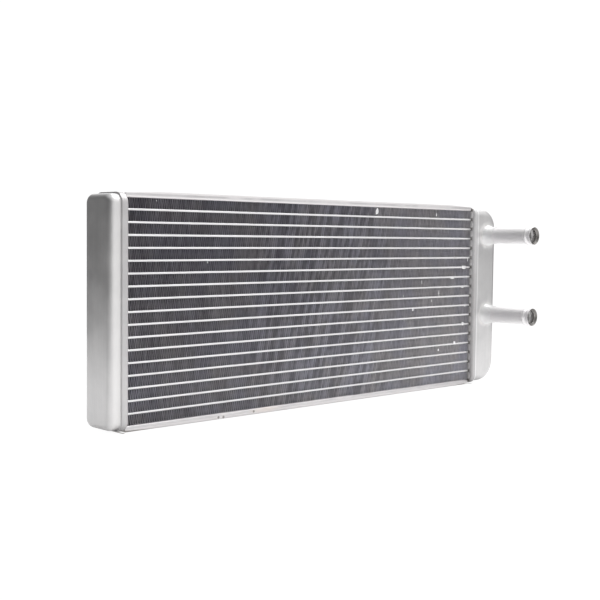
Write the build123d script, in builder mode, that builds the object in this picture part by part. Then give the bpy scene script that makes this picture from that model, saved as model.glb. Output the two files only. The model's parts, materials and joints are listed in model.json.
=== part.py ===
from build123d import *
import os

# Heater core of brazed aluminium, in millimetres. +Z is up, the pipes point to -Y and sit at the +X end.
# The origin is below the middle of the whole part, on the surface that the part stands on.

# Core
core_length = 435.0  # between the two header floors
core_depth = 27.0
tube_count = 17
tube_thickness = 2.0
tube_wall = 0.4
tube_stub = 2.0  # how far a tube reaches past the header floor into the tank
fin_height = 8.0  # open height between two tubes
fin_sheet = 0.15
fin_folds = 26  # flanks of one strip, fewer than the real strip has, to keep its faces few
fin_end_gap = 0.8  # between a strip's end and the header floor
fin_braze_gap = 0.05  # between a fold's crest and the tube that it is brazed to

# Side plates
plate_sheet = 1.2
plate_flange = 5.2  # height of the channel over all
plate_bend = 1.6
taper_drop = 1.3  # how much lower the flanges are at the ends of a plate
taper_run = 35.0  # length over which they get lower

# Headers
header_sheet = 1.2
header_rim = 6.5  # depth of the pan over all
header_overhang = 5.6  # past the tubes, at the front and at the back
header_margin = 4.2  # past the outermost fins, at the top and at the bottom
header_bend = 2.5
slot_gap = 0.1  # round each tube in its slot

# Tanks
tank_wall = 1.5
tank_corner = 7.5
tank_stand = 1.0  # between a tank's mouth and the header floor
braze_gap = 0.1  # between brazed pieces of which one fits into the other
left_reach = 17.2  # from the header floor to the end of the left tank
left_end_round = 5.0
right_reach = 40.7  # from the header floor to the end of the right tank
right_end_corner = 22.0

# Divider inside the right tank, between the two pipes
divider_sheet = 1.5

# Pipes
pipe_inset = 16.8  # from the end of the right tank to the pipe axes
upper_pipe_rise = 63.6  # from the middle of the core
lower_pipe_rise = -20.2
pipe_radius = 8.3
pipe_wall = 1.0
pipe_reach = 58.8  # from the tank's face to the mouth
pipe_entry = 3.0  # inside the tank, past its wall
bead_height = 1.0  # over the pipe
bead_back = 6.6  # from the mouth to the middle of the bead
bead_top = 1.2  # length of the bead's top along the pipe
bead_slope = 1.6  # along the pipe, from the top of the bead to its foot
rim_height = 0.9  # of the rolled mouth over the pipe
rim_length = 1.3
rim_slope = 1.3
mouth_lip = 0.4  # thickness of the edge at the mouth

# Collars round the pipe roots
collar_flare = 2.4  # foot of the collar over the pipe
collar_rim = 1.4
collar_length = 11.0
collar_lip = 0.4  # thickness where the collar runs out on the pipe

# Places that follow from the sizes
tube_pitch = tube_thickness + fin_height
core_height = tube_count * tube_pitch + fin_height
header_depth = core_depth + 2 * header_overhang
header_height = core_height + 2 * header_margin
lap = header_sheet + braze_gap
header_corner = tank_corner + lap
tank_depth = header_depth - 2 * lap
tank_height = header_height - 2 * lap
total_length = left_reach + core_length + right_reach
total_depth = pipe_reach + tank_depth + lap
core_left = left_reach - total_length / 2
core_right = core_left + core_length
core_middle = (core_left + core_right) / 2
core_y = (total_depth - header_depth) / 2
tank_front = core_y - tank_depth / 2
core_z = core_height / 2 + plate_flange
pipe_x = core_right + right_reach - pipe_inset
tube_levels = [core_z + (n - (tube_count - 1) / 2) * tube_pitch for n in range(tube_count)]
fin_levels = [core_z + (n - tube_count / 2) * tube_pitch for n in range(tube_count + 1)]
divider_level = fin_levels[(tube_count + 1) // 2]

os.makedirs("parts", exist_ok=True)


def save(builder, name):
    builder.part.label = name
    export_step(builder.part, f"parts/{name}.step")


# Flat tubes, solid and round at both noses, with one flat passage between the noses
tube_length = core_length + 2 * (header_sheet + tube_stub)
passage_width = core_depth - tube_thickness
passage_height = tube_thickness - 2 * tube_wall
for number, level in enumerate(tube_levels, start=1):
    with BuildPart() as tube:
        with BuildSketch(Plane.YZ.offset(core_middle)):
            with Locations((core_y, level)):
                SlotOverall(core_depth, tube_thickness)
                Rectangle(passage_width, passage_height, mode=Mode.SUBTRACT)
        extrude(amount=tube_length / 2, both=True)
    save(tube, f"tube_{number:02d}")

# Corrugated fins, one folded strip above and below each tube
strip_length = core_length - 2 * fin_end_gap
fold_run = strip_length / fin_folds
fold_rise = fin_height - 2 * fin_braze_gap
slope_rise = fold_rise
for _ in range(4):
    # The sheet measured straight up through a flank, from its thickness square to the flank
    upright_sheet = fin_sheet * (1 + (slope_rise / fold_run) ** 2) ** 0.5
    slope_rise = fold_rise - upright_sheet
for number, level in enumerate(fin_levels, start=1):
    lower_line = []
    for fold in range(fin_folds + 1):
        crest_x = core_left + fin_end_gap + fold * fold_run
        lower_line.append((crest_x, level - fold_rise / 2 + slope_rise * (fold % 2)))
    upper_line = [(x, z + upright_sheet) for x, z in reversed(lower_line)]
    with BuildPart() as fin:
        with BuildSketch(Plane.XZ.offset(-core_y)):
            with BuildLine():
                Polyline(*lower_line, *upper_line, close=True)
            make_face()
        extrude(amount=core_depth / 2, both=True)
    save(fin, f"fin_{number:02d}")

# Side plates, channels with the web on the outermost fins and the flanges away from them
for name, side in (("top_side_plate", 1), ("bottom_side_plate", -1)):
    web_level = core_z + side * core_height / 2
    edge_level = web_level + side * plate_flange
    with BuildPart() as plate:
        with BuildSketch(Plane.YZ.offset(core_left)):
            with Locations((core_y, web_level + side * plate_flange / 2)):
                Rectangle(core_depth, plate_flange)
            with Locations((core_y, web_level + side * (plate_flange + plate_sheet) / 2)):
                Rectangle(core_depth - 2 * plate_sheet, plate_flange - plate_sheet, mode=Mode.SUBTRACT)
        extrude(amount=core_length)
        outside = plate.faces().filter_by(Axis.Z).sort_by(Axis.Z, reverse=side < 0)[0]
        fillet(outside.edges().filter_by(Axis.X), plate_bend)
        with BuildSketch(Plane.XZ.offset(-core_y)):
            for end_x, run in ((core_left, taper_run), (core_right, -taper_run)):
                with BuildLine():
                    low_corner = (end_x, edge_level - side * taper_drop)
                    Polyline((end_x, edge_level), (end_x + run, edge_level), low_corner, close=True)
                make_face()
        extrude(amount=core_depth, both=True, mode=Mode.SUBTRACT)
    save(plate, name)

# Headers, drawn pans with a slot for each tube in the floor
for name, side, floor_x in (("left_header", -1, core_left), ("right_header", 1, core_right)):
    with BuildPart() as header:
        with BuildSketch(Plane.YZ.offset(floor_x)):
            with Locations((core_y, core_z)):
                RectangleRounded(header_depth, header_height, header_corner)
        extrude(amount=side * header_rim)
        fillet(header.faces().sort_by(Axis.X, reverse=side < 0)[0].edges(), header_bend)
        with BuildSketch(Plane.YZ.offset(floor_x + side * header_sheet)):
            with Locations((core_y, core_z)):
                pocket_corner = header_corner - header_sheet
                RectangleRounded(header_depth - 2 * header_sheet, header_height - 2 * header_sheet, pocket_corner)
        extrude(amount=side * (header_rim - header_sheet), mode=Mode.SUBTRACT)
        with BuildSketch(Plane.YZ.offset(floor_x)):
            with Locations(*[(core_y, level) for level in tube_levels]):
                Rectangle(core_depth + 2 * slot_gap, tube_thickness + 2 * slot_gap)
        extrude(amount=side * header_sheet, mode=Mode.SUBTRACT)
    save(header, name)

# Left tank, a shallow drawn cup
left_mouth = core_left - header_sheet - tank_stand
left_length = left_reach - header_sheet - tank_stand
with BuildPart() as left_tank:
    with BuildSketch(Plane.YZ.offset(left_mouth)):
        with Locations((core_y, core_z)):
            RectangleRounded(tank_depth, tank_height, tank_corner)
    extrude(amount=-left_length)
    fillet(left_tank.faces().sort_by(Axis.X)[0].edges(), left_end_round)
    offset(amount=-tank_wall, openings=left_tank.faces().sort_by(Axis.X)[-1])
save(left_tank, "left_tank")

# Right tank, a deeper cup with large outer corners and two holes for the pipes
right_mouth = core_right + header_sheet + tank_stand
right_length = right_reach - header_sheet - tank_stand
with BuildPart() as right_tank:
    with BuildSketch(Plane.XZ.offset(-tank_front)):
        with Locations((right_mouth + right_length / 2, core_z)):
            Rectangle(right_length, tank_height)
        fillet(vertices().group_by(Axis.X)[-1], right_end_corner)
    extrude(amount=-tank_depth)
    mouth_face = right_tank.faces().sort_by(Axis.X)[0]
    broad_faces = right_tank.faces().filter_by(Axis.Y)
    fillet(broad_faces.edges() - mouth_face.edges(), tank_corner)
    offset(amount=-tank_wall, openings=right_tank.faces().sort_by(Axis.X)[0])
    with BuildSketch(Plane.XZ.offset(-tank_front)):
        with Locations((pipe_x, core_z + upper_pipe_rise), (pipe_x, core_z + lower_pipe_rise)):
            Circle(pipe_radius + braze_gap)
    extrude(amount=-2 * tank_wall, mode=Mode.SUBTRACT)
save(right_tank, "right_tank")

# Divider, a plate that fills the right tank's section from the header floor to the tank's end
divider_left = core_right + header_sheet + braze_gap
divider_right = core_right + right_reach - tank_wall - braze_gap
divider_depth = tank_depth - 2 * (tank_wall + braze_gap)
with BuildPart() as divider:
    with BuildSketch(Plane.XY.offset(divider_level - divider_sheet / 2)):
        with Locations(((divider_left + divider_right) / 2, core_y)):
            Rectangle(divider_right - divider_left, divider_depth)
        fillet(vertices().group_by(Axis.X)[-1], tank_corner - tank_wall - braze_gap)
    extrude(amount=divider_sheet)
save(divider, "tank_divider")

# Pipes with a hose bead, hollow inside as it is rolled, and a widened mouth
pipe_bore = pipe_radius - pipe_wall
inner_end = -tank_wall - pipe_entry
bead_start = pipe_reach - bead_back - bead_top / 2
bead_end = bead_start + bead_top
rim_start = pipe_reach - rim_length
collar_bore = pipe_radius + braze_gap
collar_tip = collar_bore + collar_lip
collar_foot = pipe_radius + collar_flare
for name, rise in (("upper", upper_pipe_rise), ("lower", lower_pipe_rise)):
    # In this plane x is the distance from the pipe's axis and y the distance out from the tank's face
    root = Plane(origin=(pipe_x, tank_front, core_z + rise), x_dir=(1, 0, 0), z_dir=(0, 0, -1))
    axis = Axis(root.origin, (0, -1, 0))
    with BuildPart() as pipe:
        with BuildSketch(root):
            with BuildLine():
                Polyline(
                    (pipe_bore, inner_end),
                    (pipe_radius, inner_end),
                    (pipe_radius, bead_start - bead_slope),
                    (pipe_radius + bead_height, bead_start),
                    (pipe_radius + bead_height, bead_end),
                    (pipe_radius, bead_end + bead_slope),
                    (pipe_radius, rim_start - rim_slope),
                    (pipe_radius + rim_height, rim_start),
                    (pipe_radius + rim_height, pipe_reach),
                    (pipe_radius + rim_height - mouth_lip, pipe_reach),
                    (pipe_bore, rim_start - rim_slope),
                    (pipe_bore, bead_end + bead_slope),
                    (pipe_bore + bead_height, bead_end),
                    (pipe_bore + bead_height, bead_start),
                    (pipe_bore, bead_start - bead_slope),
                    close=True,
                )
            make_face()
        revolve(axis=axis)
    save(pipe, f"{name}_pipe")
    # The collar's hollow curve runs out level with the pipe
    with BuildPart() as collar:
        with BuildSketch(root):
            with BuildLine():
                TangentArc((collar_tip, collar_length), (collar_foot, collar_rim), tangent=(0, -1))
                Polyline((collar_foot, collar_rim), (collar_foot, 0), (collar_bore, 0), (collar_bore, collar_length))
                Line((collar_bore, collar_length), (collar_tip, collar_length))
            make_face()
        revolve(axis=axis)
    save(collar, f"{name}_collar")
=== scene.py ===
import json
import math

import bmesh
import bpy
from mathutils import Matrix, Vector, noise

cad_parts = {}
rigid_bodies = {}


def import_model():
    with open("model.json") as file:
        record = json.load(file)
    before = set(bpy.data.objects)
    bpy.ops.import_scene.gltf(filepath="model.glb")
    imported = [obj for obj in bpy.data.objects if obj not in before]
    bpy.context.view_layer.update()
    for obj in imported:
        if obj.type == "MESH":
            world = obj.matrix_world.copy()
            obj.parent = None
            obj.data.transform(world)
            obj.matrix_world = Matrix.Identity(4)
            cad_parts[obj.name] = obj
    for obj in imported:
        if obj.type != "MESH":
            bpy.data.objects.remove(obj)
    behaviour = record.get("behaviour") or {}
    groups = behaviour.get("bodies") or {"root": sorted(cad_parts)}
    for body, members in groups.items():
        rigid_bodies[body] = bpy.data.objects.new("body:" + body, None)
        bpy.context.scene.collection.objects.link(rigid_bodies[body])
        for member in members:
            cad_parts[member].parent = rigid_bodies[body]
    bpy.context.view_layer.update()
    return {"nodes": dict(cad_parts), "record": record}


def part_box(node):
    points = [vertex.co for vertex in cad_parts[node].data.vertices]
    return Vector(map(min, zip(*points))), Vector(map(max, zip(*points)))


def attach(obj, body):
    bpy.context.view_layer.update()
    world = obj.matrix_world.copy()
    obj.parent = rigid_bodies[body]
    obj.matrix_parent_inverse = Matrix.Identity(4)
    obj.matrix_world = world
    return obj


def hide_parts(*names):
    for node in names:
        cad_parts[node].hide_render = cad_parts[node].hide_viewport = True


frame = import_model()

nodes = frame["nodes"]
MM = 0.001

# Sizes read from the frame
core_low, core_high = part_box("tube_01")
fin_low, fin_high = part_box("fin_01")
tank_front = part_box("right_tank")[0][1]
left_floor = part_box("left_header")[1][0]
right_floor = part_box("right_header")[0][0]
header_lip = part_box("right_header")[1][0]
floor_middle = (left_floor + right_floor) / 2
floor_reach = (right_floor - left_floor) / 2
core_front = core_low[1]
core_back = core_high[1]
core_depth = core_back - core_front
core_y = (core_front + core_back) / 2
fin_names = sorted(name for name in nodes if name.startswith("fin_"))
tube_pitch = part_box("tube_02")[0][2] - core_low[2]
pipe_boxes = [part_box("upper_pipe"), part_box("lower_pipe")]
pipe_centres = [tuple((low[n] + high[n]) / 2 for n in range(3)) for low, high in pipe_boxes]


class Value:
    """A socket of a material. Arithmetic on it adds Math nodes."""

    def __init__(self, finish, socket):
        self.finish = finish
        self.socket = socket

    def math(self, operation, *others):
        return self.finish.node("ShaderNodeMath", {"operation": operation}, dict(enumerate((self, *others))))

    def __add__(self, other):
        return self.math("ADD", other)

    def __sub__(self, other):
        return self.math("SUBTRACT", other)

    def __mul__(self, other):
        return self.math("MULTIPLY", other)

    def __rsub__(self, other):
        return self.finish.node("ShaderNodeMath", {"operation": "SUBTRACT"}, {0: other, 1: self})

    __radd__ = __add__
    __rmul__ = __mul__

    def least(self, other):
        return self.math("MINIMUM", other)

    def most(self, other):
        return self.math("MAXIMUM", other)

    def clamp(self):
        return self.finish.node("ShaderNodeClamp", {}, {0: self})


class Finish:
    """A material made of nodes, with one Principled shader."""

    def __init__(self, name):
        self.material = bpy.data.materials.new(name)
        self.material.use_nodes = True
        self.tree = self.material.node_tree
        self.tree.nodes.clear()
        self.shader = self.tree.nodes.new("ShaderNodeBsdfPrincipled")
        output = self.tree.nodes.new("ShaderNodeOutputMaterial")
        self.tree.links.new(self.shader.outputs[0], output.inputs["Surface"])

    def node(self, kind, settings, inputs, output=0):
        node = self.tree.nodes.new(kind)
        for setting, value in settings.items():
            if setting == "stops":
                ramp = node.color_ramp
                ramp.elements[0].position, ramp.elements[0].color = value[0]
                ramp.elements[1].position, ramp.elements[1].color = value[-1]
                for position, colour in value[1:-1]:
                    ramp.elements.new(position).color = colour
            else:
                setattr(node, setting, value)
        for name, value in inputs.items():
            self.feed(node.inputs[name], value)
        return Value(self, node.outputs[output])

    def feed(self, socket, value):
        if isinstance(value, Value):
            self.tree.links.new(value.socket, socket)
        else:
            socket.default_value = value

    def place(self, stretch=(1, 1, 1), centre=(0, 0, 0)):
        """Object coordinates, in metres, about a centre and stretched for grain."""
        point = self.node("ShaderNodeTexCoord", {}, {}, "Object")
        moved = self.node("ShaderNodeVectorMath", {"operation": "SUBTRACT"}, {0: point, 1: centre})
        return self.node("ShaderNodeVectorMath", {"operation": "MULTIPLY"}, {0: moved, 1: stretch})

    def noise(self, size, stretch=(1, 1, 1), detail=3.0, roughness=0.55, lean=0.0):
        """Noise from 0 to 1 in blots about size metres wide. Its grain can lean to the right going up."""
        where = self.place(stretch)
        if lean:
            inputs = {0: self.place(), "Angle": -lean}
            turned = self.node("ShaderNodeVectorRotate", {"rotation_type": "Y_AXIS"}, inputs)
            where = self.node("ShaderNodeVectorMath", {"operation": "MULTIPLY"}, {0: turned, 1: stretch})
        inputs = {"Vector": where, "Scale": 1 / size, "Detail": detail, "Roughness": roughness}
        return self.node("ShaderNodeTexNoise", {}, inputs)

    def distance(self, centre, stretch):
        """Distance in metres from a centre, or from a line through it where one of the stretches is 0."""
        point = self.place(stretch, centre)
        return self.node("ShaderNodeVectorMath", {"operation": "LENGTH"}, {0: point}, "Value")

    def along(self, axis, start=0.0):
        """How far a point is along axis 0, 1 or 2 from a start on it."""
        centre = tuple(start if n == axis else 0.0 for n in range(3))
        return self.node("ShaderNodeSeparateXYZ", {}, {0: self.place(centre=centre)}, axis)

    def step(self, value, low, high):
        """0 below low, 1 above high, smooth between."""
        inputs = {"Value": value, "From Min": low, "From Max": high}
        return self.node("ShaderNodeMapRange", {"interpolation_type": "SMOOTHSTEP"}, inputs)

    def blend(self, factor, first, second, blend_type="MIX"):
        settings = {"data_type": "RGBA", "blend_type": blend_type}
        return self.node("ShaderNodeMix", settings, {"Factor": factor, 6: first, 7: second}, 2)

    def bump(self, height, distance, strength=1.0, under=None):
        inputs = {"Height": height, "Distance": distance, "Strength": strength}
        if under is not None:
            inputs["Normal"] = under
        return self.node("ShaderNodeBump", {}, inputs)

    def under(self, colour, glow):
        """The camera keeps seeing this finish, and the part is lit by a plainer one with a glow."""
        plain = self.tree.nodes.new("ShaderNodeBsdfPrincipled")
        glow_colour = self.blend(glow, grey(0.0), grey(1.0))
        values = {
            "Base Color": colour, "Roughness": 0.9, "Emission Color": glow_colour, "Emission Strength": 1.0,
        }
        for name, value in values.items():
            self.feed(plain.inputs[name], value)
        mix = self.tree.nodes.new("ShaderNodeMixShader")
        seen = self.node("ShaderNodeLightPath", {}, {}, "Is Camera Ray")
        output = self.tree.nodes["Material Output"]
        self.feed(mix.inputs[0], seen)
        self.tree.links.new(plain.outputs[0], mix.inputs[1])
        self.tree.links.new(self.shader.outputs[0], mix.inputs[2])
        self.tree.links.new(mix.outputs[0], output.inputs["Surface"])
        return self.material

    def finish(self, **sockets):
        for name, value in sockets.items():
            self.feed(self.shader.inputs[name.replace("_", " ").title()], value)
        return self.material


def grey(level, warm=0.0, pink=0.0):
    return (level + warm + pink, level - pink, level - warm, 1.0)


def drawn_aluminium(name, light, dark, rough, frosted, frost_tone, grain=(1, 1, 1), streak=0.006,
                    metal=1.0, pink=0.0, marks_and_painted_light=None):
    """Bare aluminium sheet: cloudy and grained, with shallow waves and scuffs, and frosted in places. The
    frost mask also carries painted highlights, and the marks can carry painted light and shade.
    """
    f = Finish(name)
    clouds = f.noise(0.022, detail=4.0)
    grain_noise = f.noise(0.0011, grain, detail=5.0, roughness=0.7)
    streaks = f.noise(streak, tuple(0.35 * g if g < 1 else g for g in grain), detail=4.0)
    scuffs = f.step(f.noise(0.0016, (1, 1, 0.09), detail=2.0), 0.66, 0.72)
    spots = f.step(f.noise(0.0032, detail=5.0, roughness=0.8), 0.66, 0.74)
    tone = (0.5 + 1.5 * (clouds - 0.5) + 0.9 * (streaks - 0.5) + 0.5 * (grain_noise - 0.5)).clamp()
    colour = f.blend(tone, grey(dark, pink=pink), grey(light, 0.004, pink))
    colour = f.blend(0.25 * spots, colour, grey(0.42, 0.006))
    roughness = rough + 0.16 * (clouds - 0.5) + 0.14 * (grain_noise - 0.5) + 0.08 * scuffs + 0.1 * spots
    frost_and_highlight = frosted(f)
    warm = 0.01 * frost_tone
    frost_colour = f.blend(grain_noise, grey(0.88 * frost_tone, warm, pink), grey(frost_tone, warm, pink))
    # The pale frost colour also paints the highlights that the frost mask carries
    colour = f.blend(frost_and_highlight, colour, frost_colour)
    if marks_and_painted_light:
        colour = marks_and_painted_light(f, colour)
    metallic = metal * (1.0 - 0.75 * frost_and_highlight)
    roughness = roughness + 0.2 * frost_and_highlight
    waves = f.bump(f.noise(0.03, detail=1.0), 0.0001)
    normal = f.bump(grain_noise + 0.5 * scuffs, 0.00005, under=waves)
    return f.finish(base_color=colour, metallic=metallic, roughness=roughness, normal=normal)


def tank_frost_and_highlight(f):
    """Painted highlight: the tank front is made pale and less metallic round the pipes. The left tank is
    pale on its front.
    """
    upper, lower = (f.distance(centre, (1, 0, 1)) for centre in pipe_centres)
    ragged = upper.least(lower) + 0.006 * (f.noise(0.007) - 0.5)
    on_front = 1.0 - f.step(f.distance((0, tank_front, 0), (0, 1, 0)), 1.0 * MM, 4.0 * MM)
    # Painted highlight: pale, less metallic metal round the pipes
    pipe_highlight = 1.0 - f.step(ragged, 11.0 * MM, 16.0 * MM)
    left_strip = 1.0 - f.step(f.distance((left_floor, 0, 0), (1, 0, 0)), 13.5 * MM, 16.5 * MM)
    return on_front * (0.7 * pipe_highlight).most(0.42 * left_strip)


def on_header_floor(f):
    """1 on the floors of both headers, on the side of the core, and 0 on their rims."""
    from_middle = f.distance((floor_middle, 0, 0), (1, 0, 0))
    return 1.0 - f.step(from_middle, floor_reach + 0.9 * MM, floor_reach + 2.0 * MM)


def height_in_core(f):
    return f.distance((0, 0, fin_low[2]), (0, 0, 1))


def header_frost(f):
    """Dull brazing residue on the header floors, between the tubes, and less of it towards the top."""
    low = 1.0 - 0.4 * f.step(height_in_core(f), 0.06, 0.18)
    return (0.82 * low + 1.8 * (f.noise(0.0016) - 0.5)).clamp() * on_header_floor(f)


def header_painted_light(f, colour):
    """Painted shade in the hollows between the ridges, where the tubes end. Painted highlights make the
    right header paler at its top and on its lip.
    """
    x = f.along(0)
    # Painted highlight: the right header's top is made paler
    right_top_highlight = f.step(x, 0.0, 0.1) * f.step(height_in_core(f), 0.09, 0.14)
    colour = f.blend(0.26 * right_top_highlight, colour, grey(0.95))
    # Painted highlight: a pale line along the header lip
    lip_highlight = f.step(x, header_lip - 1.3 * MM, header_lip - 0.8 * MM)
    colour = f.blend(0.8 * lip_highlight, colour, grey(1.0))
    # Painted shade: dark at each tube end on the header floors
    from_tube = f.along(2, (core_low[2] + core_high[2]) / 2).math("PINGPONG", tube_pitch / 2)
    at_tube = 1.0 - f.step(from_tube, 0.6 * MM, 2.4 * MM)
    past_tube = f.distance((0, core_y, 0), (0, 1, 0)) - core_depth / 2
    at_tip = 1.0 - f.step(past_tube + 2.0 * MM * (f.noise(0.002) - 0.5), 1.2 * MM, 3.0 * MM)
    return f.blend(0.8 * at_tube * at_tip * on_header_floor(f), colour, grey(0.10, 0.01))


def plate_frost_and_highlights(f):
    """Pale blotches, and painted highlight lines along both edges of the top plate and low on the bottom
    one.
    """
    # Heights of the painted highlight lines, in millimetres
    highlight_heights = (187.9, 184.2, 1.4)
    edges = [f.distance((0, 0, z * MM), (0, 0, 1)) for z in highlight_heights]
    line = 1.0 - f.step(edges[0].least(edges[1]).least(edges[2]), 0.4 * MM, 1.5 * MM)
    blotches = f.step(f.noise(0.012, (0.3, 1, 1), detail=5.0), 0.5, 0.66)
    return (0.45 * blotches).most(0.75 * line)


def plate_marks(f, colour):
    """A faint stain from the furnace on the front of the bottom plate, and dark specks beside it."""
    stain = 1.0 - f.step(f.distance((-0.082, core_front, 0.003), (0.12, 1, 1)), 0.8 * MM, 3.0 * MM)
    colour = f.blend(0.6 * stain, colour, (0.90, 0.82, 0.76, 1.0))
    speck_places = ((-135.3, 1.7), (-129.9, 1.4), (-96.0, 2.6))
    for x, z in speck_places:
        speck = 1.0 - f.step(f.distance((x * MM, core_front, z * MM), (1, 1, 1)), 0.7 * MM, 1.5 * MM)
        colour = f.blend(0.7 * speck, colour, grey(0.16, 0.02))
    return colour


def tube_aluminium():
    """Drawn flat tube, bright along its nose, with dull patches of brazing residue."""
    f = Finish("tube_aluminium")
    lengthwise = f.noise(0.0012, (0.04, 1, 1), detail=4.0)
    patches = f.noise(0.007, (0.6, 1, 1), detail=4.0, roughness=0.65)
    right_end = 1.0 - f.step(f.distance((right_floor, 0, 0), (1, 0, 0)), 0.0, 0.13)
    residue = f.step(patches + 0.25 * right_end, 0.56, 0.72)
    colour = f.blend((0.6 * lengthwise + 0.4 * patches).clamp(), grey(0.72), grey(0.90))
    colour = f.blend(0.45 * residue, colour, grey(0.88, 0.004))
    roughness = 0.36 + 0.14 * (lengthwise - 0.5) + 0.2 * residue
    normal = f.bump(lengthwise + 0.7 * residue, 0.00006)
    metallic = 0.8 - 0.6 * residue * right_end
    return f.finish(base_color=colour, metallic=metallic, roughness=roughness, normal=normal)


def fin_aluminium():
    """Rolled foil, dull from the furnace, streaked up and down because the folds differ, with painted shade
    inside.

    It is made darker to the left and the top by painted shade, set by place, and its slanted streaks are set
    by place too. They are most likely a beat of the photograph's pixels with the folds, and not on the real
    part.
    """
    f = Finish("fin_aluminium")
    folds = f.noise(0.0024, (1, 0.02, 0.12), detail=2.0, roughness=0.7)
    groups = f.noise(0.016, (1, 0.05, 0.3), detail=3.0)
    fine = f.noise(0.0009, detail=3.0)
    bands = f.noise(0.0045, (1, 0.05, 0.13), detail=1.0, roughness=0.4, lean=math.radians(16))
    banded = 1.0 - f.step(f.distance((-0.01, 0, 0), (1, 0, 0)), 0.04, 0.12)
    tone = 0.5 + 2.0 * (folds - 0.5) + 1.0 * (groups - 0.5) + 4.5 * banded * (bands - 0.5)
    tone = tone.clamp()
    # Painted shade: darker towards the left end and towards the top
    left_shade = 1.0 - f.step(f.distance((fin_low[0], 0, 0), (1, 0, 0)), 0.0, 0.44)
    height = f.step(height_in_core(f), 0.0, 0.14)
    # dull is painted shade: 0.62 of it towards the left, 0.38 towards the top
    dull = 0.62 * left_shade + 0.38 * height
    dark = f.blend(dull, (0.72, 0.70, 0.73, 1.0), (0.26, 0.245, 0.275, 1.0))
    light = f.blend(dull, (1.0, 0.98, 1.0, 1.0), (0.56, 0.535, 0.58, 1.0))
    colour = f.blend(tone, dark, light)
    blueness = f.step(f.noise(0.035), 0.35, 0.65)
    tint = f.blend(blueness, (0.96, 0.975, 1.03, 1.0), (1.0, 0.995, 0.985, 1.0))
    colour = f.blend(1.0, colour, tint, "MULTIPLY")
    # Painted shade: darker inside the core, from 0.3 mm behind its front and back faces
    depth = core_depth / 2 - f.distance((0, core_y, 0), (0, 1, 0))
    inside = f.step(depth, 0.3 * MM, 2.1 * MM)
    colour = f.blend(0.78 * inside, colour, grey(0.06))
    roughness = 0.42 + 0.18 * (fine - 0.5) + 0.14 * (folds - 0.5)
    normal = f.bump(fine, 0.00003)
    return f.finish(base_color=colour, metallic=0.6, roughness=roughness, normal=normal)


def pipe_aluminium():
    """Turned tube, half bright, with faint rings round it, and painted shade inside. A painted highlight
    makes the far slope of the bead's hollow bright.
    """
    f = Finish("pipe_aluminium")
    rings = f.noise(0.0008, (0.05, 1, 0.05), detail=3.0)
    clouds = f.noise(0.01, detail=4.0)
    colour = f.blend((0.5 * rings + 0.5 * clouds).clamp(), grey(0.84, pink=0.006), grey(0.93, 0.003, 0.006))
    upper, lower = (f.distance(centre, (1, 0, 1)) for centre in pipe_centres)
    depth = f.distance((0, pipe_boxes[0][0][1], 0), (0, 1, 0))
    flare = 1.0 - f.step(depth, 0.0, 2.8 * MM)
    inside = 1.0 - f.step(upper.least(lower) - 1.0 * MM * flare, 7.8 * MM, 7.95 * MM)
    # Painted highlight: the far slope of the bead's hollow is made pale and less metallic
    slope = f.step(depth, 6.2 * MM, 7.0 * MM) * (1.0 - f.step(depth, 9.0 * MM, 10.5 * MM)) * inside
    # Painted shade: the bore is darker, darkest past the flared mouth
    deep_shade = 1.0 - f.step(flare, 0.0, 0.3)
    colour = f.blend(inside, colour, f.blend(deep_shade, grey(0.26, 0.01), grey(0.5, 0.012)))
    colour = f.blend(slope, colour, grey(0.98))
    metallic = 0.55 + 0.35 * inside - 0.9 * slope
    roughness = 0.48 + 0.14 * (rings - 0.5) + 0.12 * (clouds - 0.5)
    normal = f.bump(rings, 0.00003)
    return f.finish(base_color=colour, metallic=metallic, roughness=roughness, normal=normal)


def collar_aluminium():
    """Brazed and cleaned metal, uneven and bright."""
    f = Finish("collar_aluminium")
    lumps = f.noise(0.004, detail=3.0)
    fine = f.noise(0.001, detail=4.0)
    colour = f.blend(lumps, grey(0.86), grey(0.95))
    roughness = 0.36 + 0.2 * (fine - 0.5) + 0.1 * (lumps - 0.5)
    normal = f.bump(lumps + 0.3 * fine, 0.0002)
    return f.finish(base_color=colour, metallic=0.55, roughness=roughness, normal=normal)


finishes = {
    "tank_aluminium": drawn_aluminium(
        "tank_aluminium", 0.75, 0.61, 0.33, tank_frost_and_highlight, 0.96, grain=(1, 1, 0.12), pink=0.003),
    "header_aluminium": drawn_aluminium(
        "header_aluminium", 0.63, 0.51, 0.42, header_frost, 0.52, grain=(1, 1, 0.2), metal=0.6, pink=0.005,
        marks_and_painted_light=header_painted_light),
    "plate_aluminium": drawn_aluminium(
        "plate_aluminium", 0.80, 0.62, 0.38, plate_frost_and_highlights, 0.98, grain=(0.08, 1, 1), streak=0.003, pink=0.008,
        marks_and_painted_light=plate_marks),
    "tube_aluminium": tube_aluminium(),
    "fin_aluminium": fin_aluminium(),
    "pipe_aluminium": pipe_aluminium(),
    "collar_aluminium": collar_aluminium(),
}
slots = {part["node"]: part["material_slot"] for part in frame["record"]["subparts"]}


for name, obj in nodes.items():
    obj.data.materials.clear()
    obj.data.materials.append(finishes[slots[name]])


wave_pitch = 2.28 * MM
foil = 0.1 * MM
end_play = 0.15 * MM
fin_rise = fin_high[2] - fin_low[2]


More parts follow.
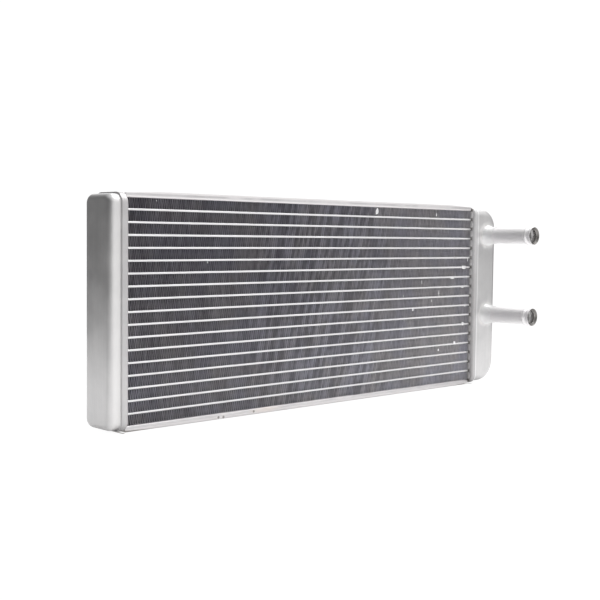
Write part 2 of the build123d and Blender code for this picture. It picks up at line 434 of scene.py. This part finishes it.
class Graph:
    """A Geometry Nodes tree, built one node at a time."""

    def __init__(self, name, sizes):
        self.tree = bpy.data.node_groups.new(name, "GeometryNodeTree")
        self.tree.interface.new_socket("Geometry", in_out="INPUT", socket_type="NodeSocketGeometry")
        self.tree.interface.new_socket("Geometry", in_out="OUTPUT", socket_type="NodeSocketGeometry")
        self.source = self.tree.nodes.new("NodeGroupInput")
        self.ids = {}
        for label, kind in sizes.items():
            item = self.tree.interface.new_socket(label, in_out="INPUT", socket_type=kind)
            self.ids[label] = item.identifier

    def size(self, label):
        return self.source.outputs[label]

    def node(self, kind, settings, inputs, output=0):
        node = self.tree.nodes.new(kind)
        for setting, value in settings.items():
            setattr(node, setting, value)
        for name, value in inputs.items():
            self.feed(node.inputs[name], value)
        return node.outputs[output]

    def feed(self, socket, value):
        if isinstance(value, bpy.types.NodeSocket):
            self.tree.links.new(value, socket)
        elif isinstance(value, (list, tuple)) and value and isinstance(value[0], bpy.types.NodeSocket):
            for part in value:
                self.tree.links.new(part, socket)
        else:
            socket.default_value = value

    def math(self, operation, first, second=0.0):
        return self.node("ShaderNodeMath", {"operation": operation}, {0: first, 1: second})

    def vector(self, x=0.0, y=0.0, z=0.0):
        return self.node("ShaderNodeCombineXYZ", {}, {0: x, 1: y, 2: z})

    def end(self, geometry, material):
        whole = self.node("GeometryNodeRealizeInstances", {}, {"Geometry": geometry})
        painted = self.node("GeometryNodeSetMaterial", {}, {"Geometry": whole, "Material": material})
        output = self.tree.nodes.new("NodeGroupOutput")
        self.tree.links.new(painted, output.inputs[0])

    def mesh(self, name, values, start=None):
        """Runs the tree with these sizes, on a start mesh if it needs one. Returns a plain mesh object."""
        holder = bpy.data.objects.new(name, start or bpy.data.meshes.new(name))
        bpy.context.scene.collection.objects.link(holder)
        modifier = holder.modifiers.new("shape", "NODES")
        modifier.node_group = self.tree
        for label, value in values.items():
            modifier[self.ids[label]] = value
        bpy.context.view_layer.update()
        graph = bpy.context.evaluated_depsgraph_get()
        plain = bpy.data.meshes.new_from_object(holder.evaluated_get(graph), depsgraph=graph)
        holder.modifiers.clear()
        holder.data = plain
        plain.name = name
        return holder


def fin_graph():
    sizes = {
        "Folds": "NodeSocketInt",
        "Rise": "NodeSocketFloat",
        "Depth": "NodeSocketFloat",
        "Wave": "NodeSocketFloat",
        "Foil": "NodeSocketFloat",
        "Louvres": "NodeSocketInt",
        "Louvre angle": "NodeSocketFloat",
        "Start": "NodeSocketVector",
        "Seed": "NodeSocketInt",
    }
    g = Graph("folded_fin", sizes)
    wave = g.size("Wave")
    rise = g.size("Rise")
    foil_size = g.size("Foil")
    depth = g.size("Depth")
    # A flank leans from one crest to the next, and a crest is flat for an eighth of the wave
    lean = g.math("MULTIPLY", wave, 0.375)
    flank_rise = g.math("SUBTRACT", rise, foil_size)
    squares = g.math("ADD", g.math("POWER", lean, 2.0), g.math("POWER", flank_rise, 2.0))
    flank_length = g.math("SQRT", squares)
    angle = g.math("ARCTAN2", lean, flank_rise)
    crest_width = g.math("ADD", g.math("MULTIPLY", wave, 0.125), foil_size)
    strip = g.math("MULTIPLY", depth, 0.08)
    reach = g.math("MULTIPLY", g.math("SUBTRACT", depth, strip), 0.5)
    # The plain strips of a flank: at the front, in the middle and at the back
    bar = g.node("GeometryNodeMeshCube", {}, {"Size": g.vector(foil_size, strip, flank_length)})
    bars = []
    for place in (-1.0, 0.0, 1.0):
        shift = g.vector(0.0, g.math("MULTIPLY", reach, place))
        bars.append(g.node("GeometryNodeTransform", {}, {"Geometry": bar, "Translation": shift}))
    # The louvres between them, turned one way before the middle and the other way behind it
    louvres = g.size("Louvres")
    louvre_span = g.math("SUBTRACT", reach, strip)
    pitch = g.math("DIVIDE", louvre_span, louvres)
    tall = g.math("MULTIPLY", flank_length, 0.84)
    upright = (0.0, math.pi / 2, 0.0)
    inputs = {"Size X": tall, "Size Y": pitch, "Vertices X": 2, "Vertices Y": 2}
    slat = g.node("GeometryNodeMeshGrid", {}, inputs)
    slat = g.node("GeometryNodeTransform", {}, {"Geometry": slat, "Rotation": upright})
    groups = list(bars)
    for side in (-1.0, 1.0):
        first = g.math("ADD", g.math("MULTIPLY", strip, 0.5), g.math("MULTIPLY", pitch, 0.5))
        offset = g.math("MULTIPLY", first, side)
        inputs = {
            "Count": louvres,
            "Start Location": g.vector(0.0, offset),
            "Offset": g.vector(0.0, g.math("MULTIPLY", pitch, side)),
        }
        line = g.node("GeometryNodeMeshLine", {"mode": "OFFSET"}, inputs)
        turn = g.vector(0.0, 0.0, g.math("MULTIPLY", g.size("Louvre angle"), side))
        inputs = {"Points": line, "Instance": slat, "Rotation": turn}
        groups.append(g.node("GeometryNodeInstanceOnPoints", {}, inputs))
    flank = g.node("GeometryNodeJoinGeometry", {}, {"Geometry": groups})
    quarter = g.math("MULTIPLY", wave, 0.25)
    parts = []
    for side in (-1.0, 1.0):
        turn = g.vector(0.0, g.math("MULTIPLY", angle, -side))
        shift = g.vector(g.math("MULTIPLY", quarter, side))
        inputs = {"Geometry": flank, "Translation": shift, "Rotation": turn}
        parts.append(g.node("GeometryNodeTransform", {}, inputs))
    crest = g.node("GeometryNodeMeshCube", {}, {"Size": g.vector(crest_width, depth, foil_size)})
    half = g.math("MULTIPLY", flank_rise, 0.5)
    low = g.vector(0.0, 0.0, g.math("MULTIPLY", half, -1.0))
    high = g.vector(g.math("MULTIPLY", wave, 0.5), 0.0, half)
    parts.append(g.node("GeometryNodeTransform", {}, {"Geometry": crest, "Translation": low}))
    parts.append(g.node("GeometryNodeTransform", {}, {"Geometry": crest, "Translation": high}))
    fold = g.node("GeometryNodeJoinGeometry", {}, {"Geometry": parts})
    # The folds along the strip, each a little off its place as the rolls leave them
    inputs = {"Count": g.size("Folds"), "Start Location": g.size("Start"), "Offset": g.vector(wave)}
    path = g.node("GeometryNodeMeshLine", {"mode": "OFFSET"}, inputs)
    jitter = g.math("MULTIPLY", wave, 0.03)
    jitter_left = g.math("MULTIPLY", jitter, -1.0)
    inputs = {"Min": g.vector(jitter_left), "Max": g.vector(jitter), "Seed": g.size("Seed")}
    nudge = g.node("FunctionNodeRandomValue", {"data_type": "FLOAT_VECTOR"}, inputs)
    path = g.node("GeometryNodeSetPosition", {}, {"Geometry": path, "Offset": nudge})
    folds = g.node("GeometryNodeInstanceOnPoints", {}, {"Points": path, "Instance": fold})
    g.end(folds, finishes["fin_aluminium"])
    return g


folded = fin_graph()
for number, name in enumerate(fin_names):
    low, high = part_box(name)
    strip_length = high[0] - low[0]
    folds = round(strip_length / wave_pitch) + (number * 5) % 3 - 1
    wave = (strip_length - end_play) / folds
    # The first fold reaches 7/16 of a wave to the left of its own place
    start = (low[0] + wave * 7 / 16 + end_play / 2, core_y, (low[2] + high[2]) / 2)
    values = {
        "Folds": folds,
        "Rise": fin_rise,
        "Depth": core_depth,
        "Wave": wave,
        "Foil": foil,
        "Louvres": 4,
        "Louvre angle": math.radians(24),
        "Start": start,
        "Seed": number,
    }
    strip = folded.mesh(f"folded_{name}", values)
    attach(strip, "root")
    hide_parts(name)


def closed_mesh(name, points, faces):
    """A closed, smooth mesh of these points, in millimetres, with its normals outward."""
    mesh = bpy.data.meshes.new(name)
    mesh.from_pydata([Vector(point) * MM for point in points], [], faces)
    work = bmesh.new()
    work.from_mesh(mesh)
    bmesh.ops.recalc_face_normals(work, faces=work.faces)
    work.to_mesh(mesh)
    work.free()
    mesh.shade_smooth()
    return mesh


def piece(name, points, faces, slot):
    """An added piece of these points, that rides on the part."""
    mesh = closed_mesh(name, points, faces)
    mesh.materials.append(finishes[slot])
    obj = bpy.data.objects.new(name, mesh)
    bpy.context.scene.collection.objects.link(obj)
    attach(obj, "root")
    return obj


def band(rows, first=0):
    """Faces between closed rows of points, the last row joined to the first."""
    count = len(rows[0])
    faces = []
    for i in range(len(rows)):
        for j in range(count):
            after = (i + 1) % len(rows)
            corners = (i, j), (after, j), (after, (j + 1) % count), (i, (j + 1) % count)
            faces.append(tuple(first + row * count + column for row, column in corners))
    return faces


def capped(rows, first=0):
    """Faces between open rows of points, and one over the first row and one over the last."""
    count = len(rows[0])
    last = first + (len(rows) - 1) * count
    ends = [tuple(range(start, start + count)) for start in (first, last)]
    return band(rows, first)[:-count] + ends


def rounded(corners, steps=6):
    """A closed outline through (x, y, radius) corners, each rounded by its radius."""
    outline = []
    for n, (x, y, radius) in enumerate(corners):
        corner = Vector((x, y))
        back = (Vector(corners[n - 1][:2]) - corner).normalized()
        ahead = (Vector(corners[(n + 1) % len(corners)][:2]) - corner).normalized()
        turn = back.angle(ahead)
        if radius == 0 or turn > 3.1:
            outline.append(corner)
            continue
        reach = radius / math.tan(turn / 2)
        centre = corner + (back + ahead).normalized() * radius / math.sin(turn / 2)
        start, end = corner + back * reach - centre, corner + ahead * reach - centre
        sweep = start.angle_signed(end)
        for step in range(steps + 1):
            outline.append(centre + Matrix.Rotation(-sweep * step / steps, 2) @ start)
    return outline


# The pipes, with the bead and the mouth rolled round.
# A corner is (distance out from the tank, radius, rounding)
pipe_radius = 8.3
pipe_bore = 7.3
bead_radius = 9.3
rim_radius = 9.2
pipe_inside_end, bead_foot, bead_start, bead_end, bead_toe, rim_foot, rim_start, mouth = (
    -4.5, 50.0, 51.6, 52.8, 54.4, 56.2, 57.5, 58.8)
pipe_line = rounded([
    (pipe_inside_end, pipe_radius, 0.2), (bead_foot, pipe_radius, 1.0), (bead_start, bead_radius, 1.2),
    (bead_end, bead_radius, 1.2), (bead_toe, pipe_radius, 1.0), (rim_foot, pipe_radius, 0.8),
    (rim_start, rim_radius, 0.8), (mouth, rim_radius, 0.2), (mouth, rim_radius - 0.4, 0.15),
    (rim_foot, pipe_bore, 1.0), (bead_toe, pipe_bore, 0.8), (bead_end, pipe_radius, 0.6),
    (bead_start, pipe_radius, 0.6), (bead_foot, pipe_bore, 0.8), (pipe_inside_end, pipe_bore, 0.2),
])
around = 72
for name, (low, high) in zip(("upper_pipe", "lower_pipe"), pipe_boxes):
    axis_x, axis_z = (low[0] + high[0]) / 2 / MM, (low[2] + high[2]) / 2 / MM
    tank_face = low[1] / MM + mouth
    rows = []
    for n in range(around):
        angle = math.tau * n / around
        rows.append([
            (axis_x + r * math.cos(angle), tank_face - out, axis_z + r * math.sin(angle))
            for out, r in pipe_line
        ])
    turned = piece(f"turned_{name}", sum(rows, []), band(rows), "pipe_aluminium")
    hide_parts(name)


def fillet_ring(outline, leg, sink, place):
    """Rows of points of a hollow fillet round an outline, where a piece stands on a surface.

    place(u, v, out) puts a point of the outline's plane, and its height over the surface, in the part.
    """
    arc = [math.radians(15 * n) for n in range(7)]
    section = [(leg * (1 - math.sin(a)), leg * (1 - math.cos(a))) for a in arc]
    section = [(leg, -sink), *section, (-sink, leg), (-sink, -sink)]
    rows = []
    for n, point in enumerate(outline):
        along = (outline[(n + 1) % len(outline)] - outline[n - 1]).normalized()
        outward = Vector((along.y, -along.x))
        rows.append([place(*(point + outward * across), out) for across, out in section])
    return rows


def box_outline(width, height, corner, steps):
    w, h = width / 2, height / 2
    return rounded([(w, -h, corner), (w, h, corner), (-w, h, corner), (-w, -h, corner)], steps)


def ridge_graph():
    """Sets one start mesh at each step up the core and makes each copy uneven."""
    sizes = {
        "Count": "NodeSocketInt",
        "Step": "NodeSocketFloat",
        "Unevenness": "NodeSocketFloat",
        "Grain": "NodeSocketFloat",
    }
    g = Graph("header_ridges", sizes)
    inputs = {
        "Count": g.size("Count"),
        "Start Location": (0.0, 0.0, 0.0),
        "Offset": g.vector(0.0, 0.0, g.size("Step")),
    }
    line = g.node("GeometryNodeMeshLine", {"mode": "OFFSET"}, inputs)
    ridges = g.node("GeometryNodeInstanceOnPoints", {}, {"Points": line, "Instance": g.size("Geometry")})
    ridges = g.node("GeometryNodeRealizeInstances", {}, {"Geometry": ridges})
    inputs = {"Scale": g.math("DIVIDE", 1.0, g.size("Grain")), "Detail": 2.0}
    lumps = g.node("ShaderNodeTexNoise", {}, inputs)
    push = g.math("MULTIPLY", g.math("SUBTRACT", lumps, 0.5), g.size("Unevenness"))
    ridges = g.node("GeometryNodeSetPosition", {}, {"Geometry": ridges, "Offset": g.vector(push)})
    g.end(ridges, finishes["header_aluminium"])
    return g


# The header floors are drawn out into low ridges between the tubes. Each is a dome with round ends
ridge_rise, ridge_width, ridge_length = 0.75, 7.6, core_depth / MM + 6.0
ridge_below_tube = 4.0
# A level of the dome is (height over the floor, how far its outline has drawn in)
ridge_levels = ((-0.3, 0.0), (0.0, 0.0), (0.35, 0.25), (0.6, 0.8), (0.72, 1.6), (ridge_rise, 2.6))
ridge_tree = ridge_graph()
for side, floor_x, out in (("left", left_floor, 1), ("right", right_floor, -1)):
    rows = []
    for level, shrink in ridge_levels:
        corner = ridge_width / 2 - shrink - 0.01
        outline = box_outline(ridge_length - 2 * shrink, ridge_width - 2 * shrink, corner, 6)
        x = floor_x / MM + out * level
        middle_z = core_low[2] / MM - ridge_below_tube
        rows.append([(x, core_y / MM + point.x, middle_z + point.y) for point in outline])
    start = closed_mesh(f"ridge_{side}", sum(rows, []), capped(rows))
    values = {"Count": len(fin_names), "Step": tube_pitch, "Unevenness": 0.35 * MM, "Grain": 3.0 * MM}
    ridges = ridge_tree.mesh(f"header_ridges_{side}", values, start)
    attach(ridges, "root")

# Brazing in the lap between each tank and its header
for side, out in (("left", -1), ("right", 1)):
    header_low, header_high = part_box(f"{side}_header")
    tank_low, tank_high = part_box(f"{side}_tank")
    edge_x = (header_low[0] if out < 0 else header_high[0]) / MM
    middle_z = (tank_low[2] + tank_high[2]) / 2 / MM
    outline = box_outline((tank_high[1] - tank_low[1]) / MM, (tank_high[2] - tank_low[2]) / MM, 7.5, 8)

    def on_rim(u, v, height):
        return (edge_x + out * height, core_y / MM + u, middle_z + v)

    rows = fillet_ring(outline, 0.8, 0.05, on_rim)
    piece(f"lap_brazing_{side}", [point for row in rows for point in row], band(rows), "header_aluminium")

# Drops of braze on the front of the core.
# Each is (x, z, length along the tube, height of the drop, how far it stands out)
drops = [
    (195.6, 124.4, 9.0, 4.2, 0.9), (176.1, 113.1, 6.0, 2.2, 0.5), (193.6, 103.3, 4.0, 2.0, 0.5),
    (198.4, 83.4, 4.0, 1.6, 0.4), (195.1, 64.7, 4.6, 3.8, 0.9), (181.5, 45.4, 3.4, 3.8, 0.9),
    (201.3, 132.0, 1.2, 3.2, 0.5), (114.1, 82.6, 2.2, 2.6, 0.4), (143.3, 90.6, 1.2, 3.0, 0.2),
    (58.9, 179.4, 4.6, 6.0, 0.35), (148.4, 178.0, 1.4, 3.6, 0.25), (127.2, 109.8, 0.8, 4.6, 0.15),
    (154.5, 98.3, 0.8, 6.4, 0.15), (155.6, 39.6, 2.4, 2.6, 0.15), (99.2, 96.8, 1.2, 2.4, 0.15),
    (-148.2, 132.3, 0.9, 1.8, 0.2), (-199.8, 181.5, 0.6, 1.1, 0.08),
]
# A level of a drop is (share of how far it stands out, share of its half width)
drop_levels = ((-1.0, 0.5), (-0.3, 0.95), (0.0, 1.0), (0.45, 0.85), (0.8, 0.55), (1.0, 0.2))
drop_sides = 20
points, faces = [], []
for x, z, long, tall, stands in drops:
    rows = []
    for out, reach in drop_levels:
        row = []
        for n in range(drop_sides):
            angle = math.tau * n / drop_sides
            place = Vector((math.cos(angle) * 1.3 + x, math.sin(angle) * 1.3, z))
            uneven = 1 + 0.35 * noise.noise(place)
            across = 0.5 * long * reach * uneven * math.cos(angle)
            up = 0.5 * tall * reach * uneven * math.sin(angle)
            row.append((x + across, core_front / MM - stands * out, z + up))
        rows.append(row)
    faces += capped(rows, len(points))
    points += [point for row in rows for point in row]
piece("braze_drops", points, faces, "collar_aluminium")


def floor_paper():
    """White paper to the camera, with a painted contact shadow where the part almost touches it.

    What lights the part is a dimmer sheet that glows more in front of it and less at the right, and fades
    out under the part as a painted shadow.
    """
    f = Finish("floor_paper")
    gaps = []
    for name in ("bottom_side_plate", "left_header", "right_header"):
        low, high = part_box(name)
        across = f.distance(((low[0] + high[0]) / 2, 0, 0), (1, 0, 0)) - (high[0] - low[0]) / 2
        along = f.distance((0, (low[1] + high[1]) / 2, 0), (0, 1, 0)) - (high[1] - low[1]) / 2
        gaps.append(across.most(along))
    gap = gaps[0].least(1.7 * MM + gaps[1].least(gaps[2]))
    # Painted contact shadow on the floor that the camera sees
    contact_shadow = 1.0 - f.step(gap, -1.5 * MM, 0.6 * MM)
    f.finish(base_color=grey(0.05), roughness=0.9, emission_strength=0.97)
    f.finish(emission_color=f.blend(0.85 * contact_shadow, grey(1.0), (0.10, 0.08, 0.07, 1.0)))
    back = f.step(f.along(1), -0.04, 0.03)
    right = f.step(f.along(0), 0.12, 0.3)
    # Painted shadow: the glow that lights the part fades out under it
    unshadowed_floor = f.step(gap, 0.0, 8.0 * MM)
    return f.under(grey(0.7), (0.6 - 0.3 * back) * (1.0 - 0.4 * right) * unshadowed_floor)


floor_mesh = bpy.data.meshes.new("floor")
floor_radius = 0.85
rim = [Matrix.Rotation(math.tau * n / 96, 3, "Z") @ Vector((floor_radius, 0, 0)) for n in range(96)]
floor_mesh.from_pydata(rim, [], [list(range(96))])
floor = bpy.data.objects.new("floor", floor_mesh)
bpy.context.scene.collection.objects.link(floor)
floor_mesh.materials.append(floor_paper())


def studio_world():
    """White to the camera. Elsewhere dim at the height of the part and bright above and in front."""
    world = bpy.data.worlds.new("studio")
    world.use_nodes = True
    tree = world.node_tree
    tree.nodes.clear()

    def add(kind, settings, inputs):
        node = tree.nodes.new(kind)
        for setting, value in settings.items():
            setattr(node, setting, value)
        for name, value in inputs.items():
            if isinstance(value, bpy.types.NodeSocket):
                tree.links.new(value, node.inputs[name])
            else:
                node.inputs[name].default_value = value
        return node

    direction = add("ShaderNodeTexCoord", {}, {}).outputs["Generated"]

    def lobe(towards, core, edge, level):
        """Light from around one direction: full to the core angle, none past the edge angle."""
        towards = Vector(towards).normalized()
        product = add("ShaderNodeVectorMath", {"operation": "DOT_PRODUCT"}, {0: direction, 1: towards})
        dot = product.outputs["Value"]
        span = {"From Min": math.cos(math.radians(edge)), "From Max": math.cos(math.radians(core))}
        inputs = {"Value": dot, "To Max": level, **span}
        return add("ShaderNodeMapRange", {"interpolation_type": "SMOOTHSTEP"}, inputs).outputs[0]

    total = 0.13
    for shape in (
        ((0.25, -0.1, 0.9), 25, 80, 0.75),  # soft ceiling, to the right
        ((0.69, 0.72, 0.1), 22, 45, 0.95),  # white sheet behind the part
        ((0.46, -0.89, 0.1), 20, 58, 0.49),  # white card to the right of the camera
        ((-0.69, -0.72, 0.1), 15, 50, 0.1),  # pale wall behind the camera
        ((-0.69, 0.72, 0.1), 15, 50, 0.06),  # pale wall at the far left
    ):
        level = lobe(*shape)
        total = add("ShaderNodeMath", {"operation": "ADD"}, {0: level, 1: total}).outputs[0]
    seen = add("ShaderNodeLightPath", {}, {}).outputs["Is Camera Ray"]
    mixed = add("ShaderNodeMix", {"data_type": "FLOAT"}, {0: seen, 2: total, 3: 1.05}).outputs[0]
    background = add("ShaderNodeBackground", {}, {"Color": mixed, "Strength": 1.0})
    output = add("ShaderNodeOutputWorld", {}, {})
    tree.links.new(background.outputs[0], output.inputs["Surface"])
    bpy.context.scene.world = world


def softbox(name, place, aim, size, power):
    light = bpy.data.lights.new(name, "AREA")
    light.shape = "RECTANGLE"
    light.size, light.size_y = size
    light.energy = power
    obj = bpy.data.objects.new(name, light)
    obj.location = place
    obj.rotation_euler = (Vector(aim) - Vector(place)).to_track_quat("-Z", "Y").to_euler()
    bpy.context.scene.collection.objects.link(obj)


studio_world()
softbox("top_light", (0.7, -0.1, 1.5), (0, 0, 0), (1.2, 1.2), 14)

# The camera's place and aim were fitted to the lines of the 17 tubes in the photograph
camera_place = Vector((-696.49, -670.71, 155.2)) * MM
camera_heading = 43.654
camera_dip = 3.475
camera_roll = 0.679
focal_pixels = 1058.1
image_side = 600

camera_data = bpy.data.cameras.new("camera")
camera_data.sensor_width = 36.0
camera_data.lens = camera_data.sensor_width * focal_pixels / image_side
camera = bpy.data.objects.new("camera", camera_data)
turn = Matrix.Rotation(math.radians(-camera_heading), 4, "Z")
turn = turn @ Matrix.Rotation(math.radians(90 - camera_dip), 4, "X")
turn = turn @ Matrix.Rotation(math.radians(camera_roll), 4, "Z")
camera.matrix_world = Matrix.Translation(camera_place) @ turn
bpy.context.scene.collection.objects.link(camera)
bpy.context.scene.camera = camera
bpy.context.scene.view_settings.view_transform = "Standard"
